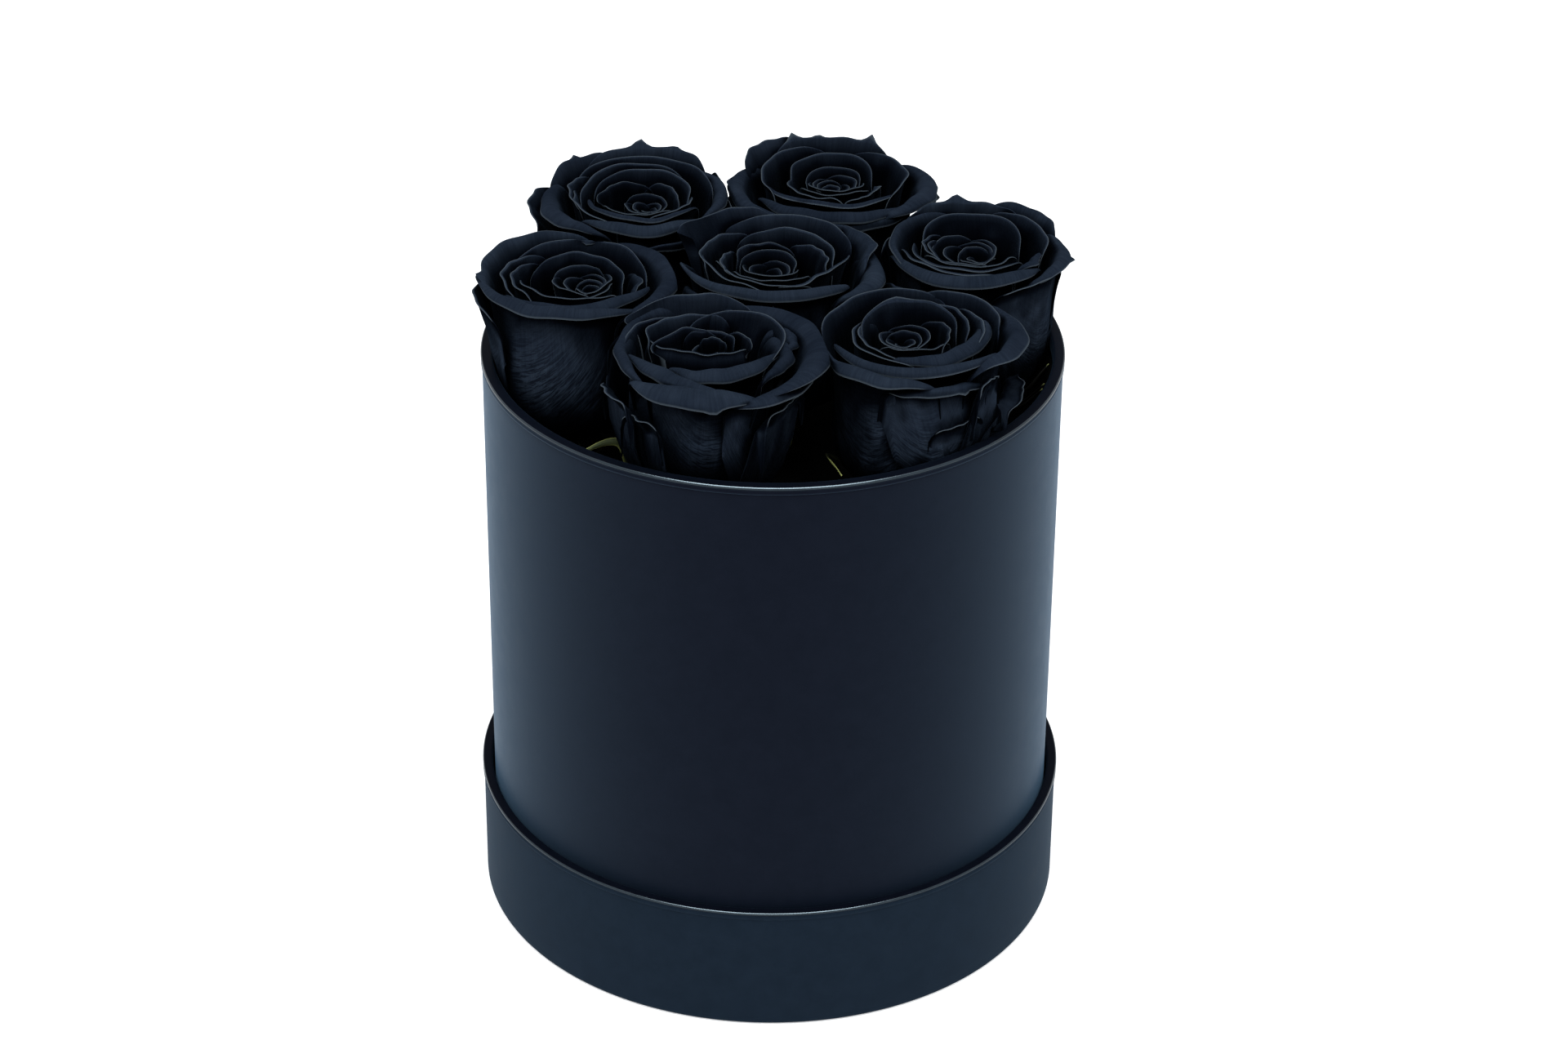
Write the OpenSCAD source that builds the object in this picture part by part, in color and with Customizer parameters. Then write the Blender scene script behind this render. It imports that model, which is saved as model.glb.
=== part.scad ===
// Round flower box: a paper-covered board box standing in its own upturned lid, with a dry
// foam block and seven preserved roses, each on a short stem pushed into the foam.
// The origin is at the centre of the lid's underside. +Z is up and -Y is the front.

/* [Box] */
// Outer diameter of the box across its rim binding
box_d = 160; // [150:1:175]
// Height of the box from its underside to its rim
box_h = 167.4; // [155:0.2:190]
// Thickness of the box's board
box_board = 2; // [1.6:0.1:2.6]

/* [Lid] */
// Outside height of the lid
lid_h = 38; // [28:1:48]
// Thickness of the lid's board
lid_board = 1.6; // [1.2:0.1:2.2]
// Radial gap between the box's rim binding and the lid's lining
lid_gap = 0.6; // [0.6:0.1:1.2]

/* [Paper] */
// Thickness of the outer covering paper
cover_t = 0.25; // [0.2:0.05:0.35]
// Thickness of the lining paper
lining_t = 0.25; // [0.2:0.05:0.35]
// Thickness of the binding folded over each rim
binding_t = 0.4; // [0.3:0.05:0.45]
// Height of the binding's outer fold
binding_drop = 2.2; // [2:0.1:4]
// Height of the binding's inner fold
binding_inner_drop = 6; // [4:0.5:10]
// Width of the covering paper's turn-in under the box and the lid
turn_in = 9; // [6:1:14]

/* [Foam] */
// Height of the foam's top above the table
foam_top = 136; // [126:1:140]
// Air between the foam block and the box's lining
foam_gap = 2.6; // [1.5:0.1:4]

/* [Roses] */
// Distance from the middle of the box to each rose of the ring
ring_r = 55; // [54.6:0.1:55.3]
// Turn of the ring of roses about the middle of the box
ring_phase = 12; // [0:1:30]
// Height of the roses' lips above the table
rose_top = 195; // [192:1:200]
// Height of a rose's petals, from the receptacle to the lips
petal_h = 43; // [40:1:44]
// Widest radius of a rose at its lips
lip_r = 27.2; // [25:0.1:27.2]
// Radius of a rose's belly, which passes inside the box's rim
belly_r = 21.3; // [19:0.1:21.3]
// Diameter of a rose's stem
stem_d = 4.6; // [3.6:0.2:5.4]
// Depth that a stem goes into the foam
stem_in_foam = 32; // [20:1:40]

/* [Hidden] */
$fn = 96;
PLACES = ["centre", "right", "back_right", "back_left", "left", "front_left", "front_right"];
BOX_NODES = [
    "box_board_wall", "box_board_base", "box_cover_paper", "box_base_paper", "box_wall_lining",
    "box_floor_lining", "box_rim_binding", "foam_block", "foam_tape_pads"
];
LID_NODES = [
    "lid_board_wall", "lid_board_disc", "lid_cover_paper", "lid_face_paper", "lid_wall_lining",
    "lid_floor_lining", "lid_rim_binding"
];
ROSE_PIECES = ["outer_petals", "middle_petals", "heart", "calyx", "stem"];

paper_black = [0.09, 0.11, 0.15];
lining_black = [0.05, 0.06, 0.08];
board_grey = [0.45, 0.43, 0.40];
petal_black = [0.10, 0.13, 0.19];
sepal_green = [0.20, 0.26, 0.10];
foam_black = [0.07, 0.08, 0.07];

// Box: radii from the outside in
box_r = box_d / 2;
box_cover_r = box_r - binding_t;
box_board_r = box_cover_r - cover_t;
box_bore_r = box_board_r - box_board;
box_lining_r = box_bore_r - lining_t;
box_mouth_r = box_lining_r - binding_t;

// Lid: radii from the inside out
lid_lining_r = box_r + lid_gap;
lid_mouth_r = lid_lining_r - binding_t;
lid_bore_r = lid_lining_r + lining_t;
lid_board_r = lid_bore_r + lid_board;
lid_cover_r = lid_board_r + cover_t;
lid_r = lid_cover_r + binding_t;

// The boards of the lid's disc and the box's base
base_board = 2;
seat_gap = 0.05;
shoulder = 0.8;
lid_floor = lining_t + cover_t + base_board + lining_t;
box_z = lid_floor + seat_gap;
box_top = box_z + box_h;
box_floor = box_z + lid_floor;

// Foam and the tape pads under it
tape_t = 1;
tape_side = 26;
tape_ring_r = 45;
foam_r = box_lining_r - foam_gap;
foam_z = box_floor + tape_t;
stem_clearance = 0.05;
bore_spare = 2;

// Rose
rose_z = rose_top - petal_h;
receptacle_h = 6;
boss_r = 5;
boss_h = 5;
stem_r = stem_d / 2;
stem_top = rose_z - receptacle_h;
stem_end = foam_top - stem_in_foam;
petal_t = 1.5;
petal_air = 0.9;
petal_slit = 2;
profile_steps = 12;
flare_start = 0.5;
sepal_len = 13;
sepal_w = 7;
sepal_t = 0.8;
sepal_droop = 12;

// Position of a rose's axis: the first is in the middle, the rest stand in a ring
function place(i) = i == 0
    ? [0, 0, 0]
    : [ring_r * cos(ring_phase + 60 * (i - 1)), ring_r * sin(ring_phase + 60 * (i - 1)), 0];

// Radius of a cup of petals at the share t of its height: a quarter ellipse, then a flare
function cup_r(t, belly, flare) =
    boss_r + (belly - boss_r) * sqrt(1 - pow(1 - min(t / 0.4, 1), 2))
    + flare * pow(max(t - flare_start, 0) / (1 - flare_start), 2);

// Outline of a cup's wall, up its outside and down its inside
function cup_wall(belly, flare, h) = concat(
    [for (i = [0:profile_steps]) let (t = i / profile_steps) [cup_r(t, belly, flare), h * t]],
    [for (i = [profile_steps:-1:0]) let (t = i / profile_steps)
        [max(cup_r(t, belly, flare) - petal_t, boss_r), h * t + petal_t * (1 - t)]]
);

// A tube between two radii and two heights
module ring(outer, inner, z0, z1) {
    translate([0, 0, z0])
        difference() {
            cylinder(r = outer, h = z1 - z0);
            translate([0, 0, -1]) cylinder(r = inner, h = z1 - z0 + 2);
        }
}

module disc(r, z, t) translate([0, 0, z]) cylinder(r = r, h = t);

// Covering paper: a sleeve round the board wall, turned in under the base board
module cover_paper(outer, z0, z1) {
    ring(outer, outer - cover_t, z0, z1);
    ring(outer - cover_t, outer - turn_in, z0, z0 + cover_t);
}

// Points of an arc from angle a0 to a1
function arc(x, y, r, a0, a1) =
    [for (i = [0:4]) let (a = a0 + (a1 - a0) * i / 4) [x + r * cos(a), y + r * sin(a)]];

// Binding: a strip folded over a board's edge, with rounded shoulders
module rim_binding(outer, inner, top)
    rotate_extrude()
        polygon(concat(
            [[inner, top - binding_inner_drop]],
            arc(inner + shoulder, top - shoulder, shoulder, 180, 90),
            arc(outer - shoulder, top - shoulder, shoulder, 90, 0),
            [
                [outer, top - binding_drop], [outer - binding_t, top - binding_drop],
                [outer - binding_t, top - binding_t], [inner + binding_t, top - binding_t],
                [inner + binding_t, top - binding_inner_drop]
            ]
        ));

module box_board_wall()
    color(board_grey)
        ring(box_board_r, box_bore_r, box_z + lining_t + cover_t, box_top - binding_t);

module box_board_base()
    color(board_grey) disc(box_bore_r, box_z + lining_t + cover_t, base_board);

module box_cover_paper()
    color(paper_black) cover_paper(box_cover_r, box_z + lining_t, box_top - binding_t);

module box_base_paper() color(lining_black) disc(box_cover_r - 1.5, box_z, lining_t);

module box_wall_lining()
    color(lining_black) ring(box_bore_r, box_lining_r, box_floor, box_top - binding_t);

module box_floor_lining()
    color(lining_black) disc(box_bore_r, box_floor - lining_t, lining_t);

module box_rim_binding() color(paper_black) rim_binding(box_r, box_mouth_r, box_top);

module foam_block()
    color(foam_black)
        difference() {
            disc(foam_r, foam_z, foam_top - foam_z);
            for (i = [0:6])
                translate(place(i) + [0, 0, stem_end - bore_spare])
                    cylinder(r = stem_r + stem_clearance, h = foam_top - stem_end + 10);
        }

module foam_tape_pads()
    color("whitesmoke")
        for (a = [45:90:315])
            rotate(a)
                translate([tape_ring_r - tape_side / 2, -tape_side / 2, box_floor])
                    cube([tape_side, tape_side, tape_t]);

module lid_board_wall()
    color(board_grey)
        ring(lid_board_r, lid_bore_r, lining_t + cover_t, lid_h - binding_t);

module lid_board_disc() color(board_grey) disc(lid_bore_r, lining_t + cover_t, base_board);

module lid_cover_paper()
    color(paper_black) cover_paper(lid_cover_r, lining_t, lid_h - binding_t);

module lid_face_paper() color(paper_black) disc(lid_cover_r - 1.2, 0, lining_t);

module lid_wall_lining()
    color(lining_black) ring(lid_bore_r, lid_lining_r, lid_floor, lid_h - binding_t);

module lid_floor_lining()
    color(lining_black) disc(lid_bore_r, lid_floor - lining_t, lining_t);

module lid_rim_binding() color(paper_black) rim_binding(lid_r, lid_mouth_r, lid_h);

// One ring of petals: equal sectors of a cup, parted by narrow slits
module petal_ring(n, belly, flare, h, lift, turn) {
    sector = 360 / n - petal_slit;
    translate([0, 0, rose_z + lift])
        for (k = [0:n - 1])
            rotate(turn + k * 360 / n)
                rotate_extrude(angle = sector) polygon(cup_wall(belly, flare, h));
}

module rose_outer_petals()
    color(petal_black) petal_ring(5, belly_r, lip_r - belly_r, petal_h, 0, 0);

module rose_middle_petals()
    color(petal_black)
        petal_ring(
            5, belly_r - petal_t - petal_air, (lip_r - belly_r) * 0.6,
            petal_h - petal_t - petal_air, petal_t + petal_air / 2, 36
        );

// The heart: three inner petals round a closed bud
module rose_heart() {
    inner_belly = belly_r - 2 * (petal_t + petal_air);
    lift = 2 * petal_t + petal_air;
    bud_r = inner_belly - petal_t - petal_air;
    bud_z = rose_z + boss_h;
    bud_h = petal_h - boss_h - 2;
    color(petal_black) {
        petal_ring(3, inner_belly, 2.2, petal_h - lift - 1, lift, 10);
        translate([0, 0, bud_z])
            rotate_extrude()
                polygon(concat(
                    [[0, 0]],
                    [for (i = [0:profile_steps]) let (t = i / profile_steps)
                        [max(bud_r * (0.36 + 0.64 * sin(90 * min(t / 0.5, 1)))
                            - 2.4 * pow(max(t - 0.5, 0) / 0.5, 2), 0.5), bud_h * t]],
                    [[0, bud_h]]
                ));
    }
}

// The calyx: the swollen top of the stem with a boss that holds the petals, and five sepals
module rose_calyx()
    color(sepal_green) {
        translate([0, 0, stem_top])
            rotate_extrude()
                polygon([
                    [0, 0], [stem_r, 0], [stem_r + 2, 1.6], [boss_r + 0.6, 3.6],
                    [boss_r, receptacle_h], [boss_r, receptacle_h + boss_h],
                    [0, receptacle_h + boss_h]
                ]);
        for (k = [0:4])
            rotate(72 * k + 36)
                translate([boss_r - 1.5, 0, rose_z - 1.6])
                    rotate([0, sepal_droop, 0])
                        linear_extrude(sepal_t)
                            polygon([
                                [0, -sepal_w / 3], [sepal_len * 0.35, -sepal_w / 2],
                                [sepal_len, 0],
                                [sepal_len * 0.35, sepal_w / 2], [0, sepal_w / 3]
                            ]);
    }

// The stem: its foot is cut at a slant
module rose_stem()
    color(sepal_green)
        difference() {
            translate([0, 0, stem_end]) cylinder(r = stem_r, h = stem_top - stem_end);
            translate([0, 0, stem_end])
                rotate([0, 35, 0]) translate([-10, -10, -20]) cube([20, 20, 20]);
        }

module rose_piece(piece) {
    if (piece == "outer_petals") rose_outer_petals();
    if (piece == "middle_petals") rose_middle_petals();
    if (piece == "heart") rose_heart();
    if (piece == "calyx") rose_calyx();
    if (piece == "stem") rose_stem();
}

box_board_wall();
box_board_base();
box_cover_paper();
box_base_paper();
box_wall_lining();
box_floor_lining();
box_rim_binding();
foam_block();
foam_tape_pads();
lid_board_wall();
lid_board_disc();
lid_cover_paper();
lid_face_paper();
lid_wall_lining();
lid_floor_lining();
lid_rim_binding();
for (i = [0:6])
    for (piece = ROSE_PIECES)
        translate(place(i)) rose_piece(piece);
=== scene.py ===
"""Round black flower box with seven preserved roses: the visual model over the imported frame."""
import math

import bpy
import numpy as np
from mathutils import Matrix, Vector
from mathutils.bvhtree import BVHTree


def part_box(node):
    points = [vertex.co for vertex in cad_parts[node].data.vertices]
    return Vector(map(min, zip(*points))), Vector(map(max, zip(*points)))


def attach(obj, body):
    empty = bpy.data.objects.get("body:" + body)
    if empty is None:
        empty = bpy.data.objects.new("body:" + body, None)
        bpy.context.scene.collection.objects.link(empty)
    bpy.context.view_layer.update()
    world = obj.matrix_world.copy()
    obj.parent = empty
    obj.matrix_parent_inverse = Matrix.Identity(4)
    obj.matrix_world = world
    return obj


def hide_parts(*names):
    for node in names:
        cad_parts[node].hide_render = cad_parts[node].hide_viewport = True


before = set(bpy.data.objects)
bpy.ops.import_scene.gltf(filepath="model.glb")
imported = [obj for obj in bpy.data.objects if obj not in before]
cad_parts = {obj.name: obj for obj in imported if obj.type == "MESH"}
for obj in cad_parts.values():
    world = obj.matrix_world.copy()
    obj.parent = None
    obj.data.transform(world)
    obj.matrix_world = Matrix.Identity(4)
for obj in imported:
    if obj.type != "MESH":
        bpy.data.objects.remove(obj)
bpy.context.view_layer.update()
MM = 0.001


# ------------ small helpers
def ease(x):
    """0 up to 1, with a soft start and end."""
    x = np.clip(x, 0.0, 1.0)
    return x * x * (3.0 - 2.0 * x)


def across(values, u, power=2.0):
    """left, middle, right values blended over u from -1 to 1."""
    left, mid, right = values
    return mid + (np.where(u < 0, left, right) - mid) * np.abs(u) ** power


def hermite(p0, t0, p1, t1, s):
    """A curve from p0, leaving along t0, to p1, arriving along t1."""
    s2, s3 = s * s, s * s * s
    return (2 * s3 - 3 * s2 + 1) * p0 + (s3 - 2 * s2 + s) * t0 + (3 * s2 - 2 * s3) * p1 + (s3 - s2) * t1


def triple(value, share=1.0, less=0.0):
    """Left, middle and right values. One number is the middle, and is scaled and lowered at the sides."""
    return (value * share - less, value, value * share - less) if np.isscalar(value) else value


def unit(vectors):
    """The vectors along the last axis, scaled to length 1."""
    return vectors / np.maximum(np.linalg.norm(vectors, axis=-1, keepdims=True), 1e-9)


def grid_quads(numbers):
    """The four-sided faces of a grid of vertex numbers."""
    corners = [numbers[:-1, :-1], numbers[1:, :-1], numbers[1:, 1:], numbers[:-1, 1:]]
    return np.stack(corners, axis=-1).reshape(-1, 4)


def add_object(name, data):
    """A new object in the scene."""
    ob = bpy.data.objects.new(name, data)
    bpy.context.scene.collection.objects.link(ob)
    return ob


def mesh_object(name, verts, quads, uvs, attrs=None):
    """A smooth mesh object from numpy arrays: vertices in mm and four vertex numbers for each face."""
    mesh = bpy.data.meshes.new(name)
    loops = quads.ravel()
    count = len(quads)
    mesh.vertices.add(len(verts))
    mesh.vertices.foreach_set("co", (verts * MM).astype(np.float32).ravel())
    mesh.loops.add(len(loops))
    mesh.loops.foreach_set("vertex_index", loops.astype(np.int32))
    mesh.polygons.add(count)
    mesh.polygons.foreach_set("loop_start", np.arange(count, dtype=np.int32) * 4)
    mesh.polygons.foreach_set("loop_total", np.full(count, 4, dtype=np.int32))
    mesh.polygons.foreach_set("use_smooth", np.full(count, True))
    layer = mesh.uv_layers.new(name="UVMap")
    layer.data.foreach_set("uv", uvs[loops].astype(np.float32).ravel())
    for key, values in (attrs or {}).items():
        attribute = mesh.attributes.new(key, "FLOAT", "POINT")
        attribute.data.foreach_set("value", values.astype(np.float32))
    mesh.update(calc_edges=True)
    mesh.validate()
    return add_object(name, mesh)


class Sheets:
    """Collects sheets with thickness and builds them as one mesh."""

    def __init__(self):
        self.sheets = []

    def add(self, grid, thick, uv, margin, tone, body=0.0, seam=0.0, crease=0.0, sweep=0.0):
        """grid is (nu, nv, 3) in mm; thick, uv and margin go with it.

        margin is where the edge is painted pale. body is 1 on the outside of an outer petal, seam on its low
        side edges, which are painted dark as the shadow line under the next petal (on a sepal, the painted
        shade before its tip), and crease where it is wrinkled, with the wrinkles painted in shade and light.
        A wrinkle follows the points that have one value of sweep."""
        size = grid.shape[:2]
        normal = unit(np.cross(np.gradient(grid, axis=0), np.gradient(grid, axis=1)))
        half = np.broadcast_to(thick, size)[..., None] * 0.5
        fields = dict(margin=margin, body=body, seam=seam, crease=crease, sweep=sweep)
        sheet = {key: np.broadcast_to(value, size) for key, value in fields.items()}
        sheet.update(front=grid + normal * half, back=grid - normal * half, normal=normal, uv=uv)
        sheet.update(tone=tone, open=[np.ones(size), np.ones(size)])
        self.sheets.append(sheet)

    def build(self, name):
        """One closed mesh: each sheet has an outside, an inside and an edge all round."""
        verts, quads, uvs, count = [], [], [], 0
        values = {"margin": [], "open": [], "tone": [], "crease": [], "seam": [], "sweep": []}
        for s in self.sheets:
            nu, nv = s["front"].shape[:2]
            one_side = nu * nv
            numbers = np.arange(one_side).reshape(nu, nv)
            face = grid_quads(numbers)
            sides = [numbers[:, 0], numbers[-1, 1:], numbers[-2::-1, -1], numbers[0, -2:0:-1]]
            ring = np.concatenate(sides)
            after = np.roll(ring, -1)
            edge = np.stack([ring, ring + one_side, after + one_side, after], axis=-1)
            quads.append(np.concatenate([face, face[:, ::-1] + one_side, edge]) + count)
            verts += [s["front"].reshape(-1, 3), s["back"].reshape(-1, 3)]
            uvs += [s["uv"].reshape(-1, 2)] * 2
            values["open"] += [side.ravel() for side in s["open"]]
            values["tone"].append(np.full(2 * one_side, s["tone"]))
            values["crease"] += [s["crease"].ravel(), np.zeros(one_side)]
            for key in ("margin", "seam", "sweep"):
                values[key] += [s[key].ravel()] * 2
            count += 2 * one_side
        attrs = {key: np.concatenate(parts) for key, parts in values.items()}
        return mesh_object(name, np.concatenate(verts), np.concatenate(quads), np.concatenate(uvs), attrs)


GOLDEN_ANGLE = 2.39996


def shade_tree(groups, wall_r, wall_z, wall_foot=100.0, sectors=48):
    """The sheets, at half their detail, and the box's wall, as a tree that rays can be cast at."""
    verts, faces, count = [], [], 0
    for group in groups:
        for s in group.sheets:
            points = s["front"][::2, ::2]
            nu, nv = points.shape[:2]
            faces.append(grid_quads(np.arange(nu * nv).reshape(nu, nv) + count))
            verts.append(points.reshape(-1, 3))
            count += nu * nv
    around = np.linspace(0, 2 * np.pi, sectors + 1)
    for z in (wall_foot, wall_z):
        verts.append(np.stack([wall_r * np.cos(around), wall_r * np.sin(around), 0 * around + z], axis=-1))
    first = np.arange(sectors) + count
    above = first + sectors + 1
    faces.append(np.stack([first, first + 1, above + 1, above], axis=-1))
    return BVHTree.FromPolygons(np.concatenate(verts).tolist(), np.concatenate(faces).tolist())


def open_share(tree, start, normal, dome, spin, reach):
    """The share of a dome of rays, turned by spin, that leave one point and meet nothing."""
    c, d = math.cos(spin), math.sin(spin)
    x, y, z = dome.T
    rays = np.stack([x * c - y * d, x * d + y * c, z], axis=-1)
    facing = np.maximum(rays @ normal, 0.0)
    origin = Vector(start)
    total = 0.0
    for weight, ray in zip(facing, rays):
        if weight > 0.02 and tree.ray_cast(origin, Vector(ray), reach)[0] is None:
            total += weight
    return total / len(dome)


def sky_openness(groups, wall_r, wall_z, rays=14, reach=55.0, step=(3, 2), lift=0.7):
    """Fills in each sheet's share of open sky, side by side, from which the petals' material paints shade.

    Where little sky is open the colour is painted dark as shade, and where much is it is painted lighter.
    Every step-th point is worked out, from lift mm off the sheet, and the points between are filled in."""
    tree = shade_tree(groups, wall_r, wall_z)
    rng = np.random.default_rng(5)
    k = np.arange(rays) + 0.5
    rise = np.arcsin(np.sqrt(k / rays))
    turn = k * GOLDEN_ANGLE
    dome = np.stack([np.cos(rise) * np.cos(turn), np.cos(rise) * np.sin(turn), np.sin(rise)], axis=-1)
    for group in groups:
        for s in group.sheets:
            nu, nv = s["normal"].shape[:2]
            iu = np.unique(np.append(np.arange(0, nu, step[0]), nu - 1))
            iv = np.unique(np.append(np.arange(0, nv, step[1]), nv - 1))
            few = np.ix_(iu, iv)
            for which, side, sign in ((0, "front", 1.0), (1, "back", -1.0)):
                normal = s["normal"][few] * sign
                start = s[side][few] + normal * lift
                outside = s["body"][few] * (which == 0)
                share = np.zeros((len(iu), len(iv)))
                for at in np.ndindex(share.shape):
                    spin = rng.uniform(0, 6.28)
                    # An upright outside sees half the sky at most, so it counts for more
                    gain = 2.0 + 3.3 * outside[at] * (1 - abs(normal[at][2]))
                    share[at] = open_share(tree, start[at], normal[at], dome, spin, reach) * gain
                full = np.stack([np.interp(np.arange(nv), iv, row) for row in share])
                s["open"][which] = np.stack([np.interp(np.arange(nu), iu, line) for line in full.T], axis=1)


# ------------ materials
class Look:
    """A procedural material. Its methods add nodes, and most return the socket that comes out."""

    def __init__(self, name):
        self.material = bpy.data.materials.new(name)
        self.material.use_nodes = True
        self.tree = self.material.node_tree
        self.shader = self.tree.nodes["Principled BSDF"]

    def put(self, inlet, value):
        """Links a socket to an inlet, or sets the inlet's own number or colour."""
        if isinstance(value, bpy.types.NodeSocket):
            self.tree.links.new(value, inlet)
        else:
            inlet.default_value = value

    def node(self, kind, **values):
        """A shader node of one kind, with its properties and inlets filled in."""
        made = self.tree.nodes.new("ShaderNode" + kind)
        for key, value in values.items():
            if hasattr(made, key):
                setattr(made, key, value)
            else:
                self.put(made.inputs[key.replace("_", " ")], value)
        return made

    def shade(self, **values):
        """Fills in the shader's own sockets."""
        for key, value in values.items():
            self.put(self.shader.inputs[key.replace("_", " ")], value)

    def attribute(self, name):
        """A mesh attribute as a value."""
        return self.node("Attribute", attribute_name=name).outputs["Fac"]

    def mapped(self, source, scale=(1, 1, 1)):
        """Object or UV coordinates, scaled."""
        place = self.node("TexCoord").outputs[source]
        return self.node("Mapping", Vector=place, Scale=scale).outputs["Vector"]

    def swept(self, along, down):
        """Coordinates that follow a petal's wrinkles, which run down its sides and round below."""
        split = self.node("SeparateXYZ", Vector=self.mapped("UV", (along, 1.0, 1.0)))
        rows = self.node("Math", operation="MULTIPLY")
        self.put(rows.inputs[0], self.attribute("sweep"))
        self.put(rows.inputs[1], down)
        both = self.node("CombineXYZ", X=split.outputs["X"], Y=rows.outputs["Value"])
        return both.outputs["Vector"]

    def noise(self, vector, scale, **values):
        return self.node("TexNoise", Vector=vector, Scale=scale, **values).outputs["Fac"]

    def cells(self, vector, scale):
        return self.node("TexVoronoi", Vector=vector, Scale=scale).outputs["Distance"]

    def ramp(self, share, stops):
        """A colour ramp. A stop is a position with a colour or a grey level."""
        made = self.node("ValToRGB", Fac=share)
        marks = made.color_ramp.elements
        while len(marks) < len(stops):
            marks.new(0.5)
        for mark, (at, colour) in zip(marks, stops):
            mark.position = at
            mark.color = (colour, colour, colour, 1.0) if np.isscalar(colour) else (*colour, 1.0)
        return made.outputs["Color"]

    def mix(self, kind, share, under, over):
        made = self.node("MixRGB", blend_type=kind, Fac=share, Color1=under, Color2=over)
        return made.outputs["Color"]

    def relief(self, *layers):
        """Bump layers over each other, the first lowest: height, strength and distance in metres."""
        normal = None
        for height, strength, distance in layers:
            bump = self.node("Bump", Height=height, Strength=strength, Distance=distance)
            if normal is not None:
                self.put(bump.inputs["Normal"], normal)
            normal = bump.outputs["Normal"]
        self.shade(Normal=normal)


PETAL_DARK = (0.0062, 0.0092, 0.0155)
PETAL_LIGHT = (0.0104, 0.0148, 0.0235)
PETAL_EDGE_HIGHLIGHT = (0.058, 0.072, 0.086, 1)
# Painted shade and light against the share of open sky: folds and gaps are painted darkest, open tops lighter
SKY_SHADE_STOPS = [(0.18, (0.010, 0.010, 0.014)), (0.46, (0.14, 0.14, 0.16)), (0.74, 0.63), (0.97, 1.2)]
PETAL_SHEEN = (0.45, 0.68, 1.0, 1)
PAPER_SHEEN = (0.36, 0.66, 1.0, 1)
SEPAL_PALE_AND_GLINT = (0.30, 0.32, 0.10, 1)
SEPAL_SHADE = (0.05, 0.04, 0.03, 1)
STEM_SPOT = (0.075, 0.045, 0.022, 1)


def petal_material():
    """Preserved petal: matt and velvety, dark blue-black, with veins; painted shade where little sky is open,
    wrinkles painted in shade and light, a painted shadow line on the low side edges and a painted highlight
    along the edges.
    """
    look = Look("petal_velvet")
    veins = look.noise(look.mapped("UV", (75.0, 4.5, 1.0)), 1.0, Detail=4.0, Roughness=0.6, Distortion=0.6)
    creases = look.noise(look.swept(9.0, 78.0), 1.0, Detail=5.0, Roughness=0.62, Distortion=1.1)
    here = look.mapped("Object")
    grain = look.noise(here, 2600.0, Detail=2.0)
    patch = look.noise(here, 110.0, Detail=3.0)
    seam, crease, tone = (look.attribute(name) for name in ("seam", "crease", "tone"))
    tones = [(0.0, (0.4, 0.4, 0.42)), (0.3, (0.82, 0.82, 0.84)), (1.0, (1.15, 1.15, 1.12))]
    layers = (
        (0.45, look.ramp(veins, [(0.3, (0.5, 0.5, 0.52)), (0.7, (1.3, 1.3, 1.25))])),
        # Wrinkles painted darker in their hollows and lighter on their ridges, as shade and light
        (crease, look.ramp(creases, [(0.43, (0.34, 0.34, 0.37)), (0.56, (1.6, 1.6, 1.55))])),
        # Random tone, kept low in the hearts as painted shade
        (1.0, look.ramp(tone, tones)),
        # Painted shade in the folds and gaps and painted light on open tops, by the share of open sky
        (1.0, look.ramp(look.attribute("open"), SKY_SHADE_STOPS)),
        # A painted shadow line along the low side edges, under the next petal
        (seam, look.ramp(seam, [(0.0, 0.3), (1.0, 0.1)])),
    )
    colour = look.ramp(patch, [(0.3, PETAL_DARK), (0.7, PETAL_LIGHT)])
    for share, layer in layers:
        colour = look.mix("MULTIPLY", share, colour, layer)
    # The petals' crests and edges are painted lighter as a highlight
    edge_highlight = look.ramp(look.attribute("margin"), [(0.5, 0.0), (1.0, 0.7)])
    look.shade(Base_Color=look.mix("MIX", edge_highlight, colour, PETAL_EDGE_HIGHLIGHT), Roughness=0.78, Specular_IOR_Level=0.0)
    look.shade(Sheen_Weight=0.012, Sheen_Roughness=0.4, Sheen_Tint=PETAL_SHEEN)
    look.relief((veins, 0.5, 0.0006), (creases, crease, 0.0012), (grain, 0.3, 0.0002))
    return look.material


def fibre_paper(name, dark, light, roughness, specular, sheen=0.0, fibre=0.25, wave=0.15, tint=(1, 1, 1, 1)):
    """Coated or plain paper: mottled colour, fine fibre bump and a slow unevenness of the board."""
    look = Look(name)
    at = look.mapped("Object")
    mottle = look.noise(at, 160.0, Detail=5.0, Roughness=0.65)
    fibres = look.noise(at, 1500.0, Detail=3.0, Roughness=0.6, Distortion=1.2)
    board = look.noise(at, 22.0, Detail=1.5)
    rough = look.node(
        "MapRange", Value=mottle, From_Min=0.3, From_Max=0.7, To_Min=roughness - 0.03,
        To_Max=roughness + 0.03)
    look.shade(Base_Color=look.ramp(mottle, [(0.35, dark), (0.65, light)]), Roughness=rough.outputs["Result"])
    look.shade(Specular_IOR_Level=specular, Specular_Tint=tint)
    look.shade(Sheen_Weight=sheen, Sheen_Roughness=0.48, Sheen_Tint=PAPER_SHEEN)
    look.relief((board, wave, 0.0006), (fibres, fibre, 0.00006))
    return look.material


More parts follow.
